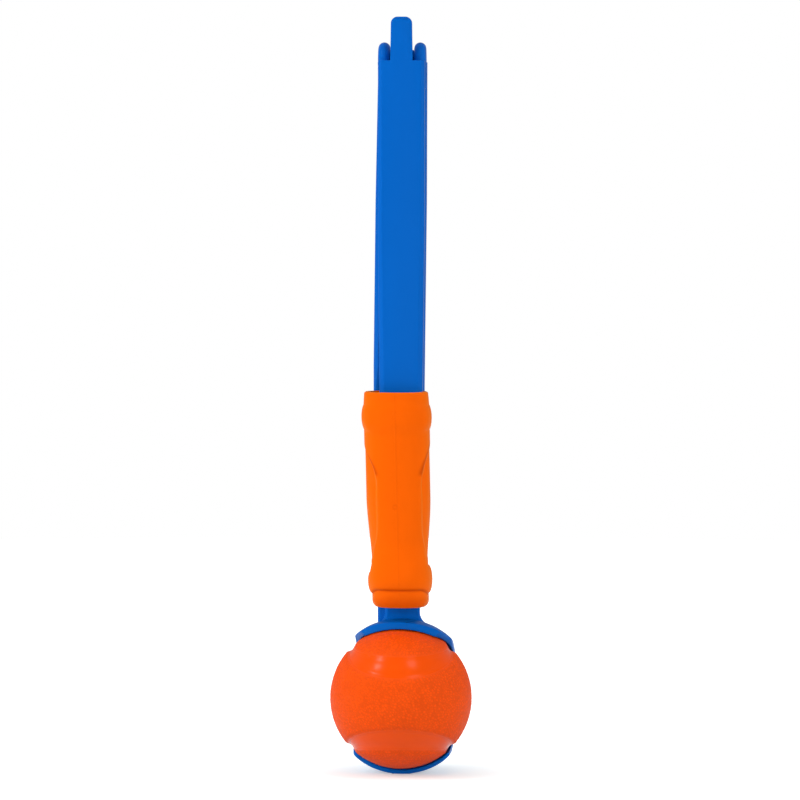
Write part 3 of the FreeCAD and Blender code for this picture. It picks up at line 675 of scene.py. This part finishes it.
def light(name, direction, size, power, shows_in_gloss, distance):
    """A square soft light that looks at the launcher's middle from one direction."""
    lamp = bpy.data.lights.new(name, "AREA")
    lamp.size = size
    lamp.energy = power
    holder = bpy.data.objects.new(name, lamp)
    aim = Vector(LAMP_AIM)
    holder.matrix_world = looking(aim + Vector(direction).normalized() * distance, aim)
    holder.visible_glossy = shows_in_gloss
    bpy.context.collection.objects.link(holder)


def looking(place, aim):
    """The place of a lamp or a camera that looks from one point at another."""
    turn = (Vector(aim) - Vector(place)).to_track_quat("-Z", "Y")
    return Matrix.Translation(place) @ turn.to_matrix().to_4x4()


def studio_floor(base):
    """Seamless paper: it stays white to the camera and keeps the soft shadow."""
    material, tree = new_material("seamless_paper")
    place = add(tree, "ShaderNodeTexCoord").outputs["Object"]
    fibre = add(tree, "ShaderNodeTexNoise", {"Vector": place, "Scale": 1 / (2 * MM), "Detail": 2.0})
    paper = add(tree, "ShaderNodeBsdfPrincipled", {
        "Base Color": shades(tree, fibre.outputs["Fac"], base, 0.01), "Roughness": 0.9,
        "Specular IOR Level": 0.1})
    path = add(tree, "ShaderNodeLightPath").outputs
    seen = add(tree, "ShaderNodeMath", {0: path["Is Camera Ray"], 1: path["Is Glossy Ray"]},
               operation="MAXIMUM")
    # The lamps reach the paper near the launcher only, so it glows more further out.
    away = add(tree, "ShaderNodeVectorMath", {0: place}, operation="LENGTH").outputs["Value"]
    glow = add(tree, "ShaderNodeMapRange", {"Value": away, "From Min": 0.01, "From Max": 0.09,
                                            "To Min": 0.14, "To Max": 0.9}).outputs["Result"]
    strength = add(tree, "ShaderNodeMath", {0: seen.outputs["Value"], 1: glow}, operation="MULTIPLY")
    glow = add(tree, "ShaderNodeEmission", {"Color": (1, 1, 1, 1),
                                            "Strength": strength.outputs["Value"]})
    both = add(tree, "ShaderNodeAddShader", {0: paper.outputs["BSDF"], 1: glow.outputs["Emission"]})
    add(tree, "ShaderNodeOutputMaterial", {"Surface": both.outputs["Shader"]})
    return material


def studio_world():
    """An even studio, white to the camera; to gloss it is dim in front and paler behind."""
    world = bpy.data.worlds.new("studio")
    world.use_nodes = True
    tree = world.node_tree
    tree.nodes.clear()
    path = add(tree, "ShaderNodeLightPath").outputs
    looked = add(tree, "ShaderNodeSeparateXYZ", {
        "Vector": add(tree, "ShaderNodeTexCoord").outputs["Generated"]}).outputs
    wall = add(tree, "ShaderNodeMapRange", {"Value": looked["Y"], "From Min": -0.3, "From Max": 0.5,
                                            "To Min": 0.05, "To Max": 0.4}).outputs["Result"]
    dome = add(tree, "ShaderNodeMapRange", {"Value": looked["Z"], "From Min": 0.0, "From Max": 1.0,
                                            "To Min": 0.36, "To Max": 0.46}).outputs["Result"]
    gloss = add(tree, "ShaderNodeMix", {"Factor": path["Is Glossy Ray"], "A": dome, "B": wall})
    white = add(tree, "ShaderNodeMix", {"Factor": path["Is Camera Ray"],
                                        "A": gloss.outputs["Result"], "B": 1.0})
    sky = add(tree, "ShaderNodeBackground", {"Color": (1, 1, 1, 1),
                                             "Strength": white.outputs["Result"]})
    add(tree, "ShaderNodeOutputWorld", {"Surface": sky.outputs["Background"]})
    return world


class LAUNCHER_OT_stage(bpy.types.Operator):
    """Set up the floor, the soft light and the camera"""
    bl_idname = "launcher.stage"
    bl_label = "Set Up Stage"

    def execute(self, context):
        stage = context.scene.launcher_stage
        bm = bmesh.new()
        bmesh.ops.create_circle(bm, cap_ends=True, segments=96, radius=FLOOR_RADIUS,
                                matrix=Matrix.Translation((0, 0, CUP_ARM_BOX[0].z)))
        mesh = bpy.data.meshes.new("floor")
        bm.to_mesh(mesh)
        bm.free()
        floor = bpy.data.objects.new("floor", mesh)
        mesh.materials.append(studio_floor(stage.floor))
        context.collection.objects.link(floor)
        context.scene.world = studio_world()
        for lamp in LAMPS:
            light(*lamp, stage.lamp_distance)
        eye = (stage.distance * math.sin(CAMERA_TURN), -stage.distance * math.cos(CAMERA_TURN),
               stage.camera_height)
        lens = bpy.data.cameras.new("camera")
        lens.lens = CAMERA_LENS
        lens.sensor_width = 36
        camera = bpy.data.objects.new("camera", lens)
        level = looking(eye, (AIM_X, 0, stage.aim_height))
        camera.matrix_world = level @ Matrix.Rotation(CAMERA_ROLL, 4, "Z")
        context.collection.objects.link(camera)
        context.scene.camera = camera
        context.scene.view_settings.view_transform = "Standard"
        return {"FINISHED"}


class LAUNCHER_PT_build(bpy.types.Panel):
    """Buttons that build the launcher's pieces"""
    bl_idname = "LAUNCHER_PT_build"
    bl_label = "Ball Launcher"
    bl_space_type = "VIEW_3D"
    bl_region_type = "UI"
    bl_category = "Ball Launcher"

    def draw(self, context):
        for operator in OPERATORS:
            self.layout.operator(operator.bl_idname)


OPERATORS = (LAUNCHER_OT_arms, LAUNCHER_OT_pin, LAUNCHER_OT_grip, LAUNCHER_OT_ball, LAUNCHER_OT_stage)
SETTINGS = {"launcher_arms": ArmSettings, "launcher_grip": GripSettings, "launcher_ball": BallSettings,
            "launcher_stage": StageSettings}


def register():
    for group in (*SETTINGS.values(), *OPERATORS, LAUNCHER_PT_build):
        bpy.utils.register_class(group)
    for name, group in SETTINGS.items():
        setattr(bpy.types.Scene, name, PointerProperty(type=group))


def unregister():
    for name in SETTINGS:
        delattr(bpy.types.Scene, name)
    for group in (LAUNCHER_PT_build, *reversed(OPERATORS), *SETTINGS.values()):
        bpy.utils.unregister_class(group)


def main():
    register()
    bpy.ops.launcher.arms()
    bpy.ops.launcher.pin()
    bpy.ops.launcher.grip()
    bpy.ops.launcher.ball()
    bpy.ops.launcher.stage()


if __name__ == "__main__":
    main()
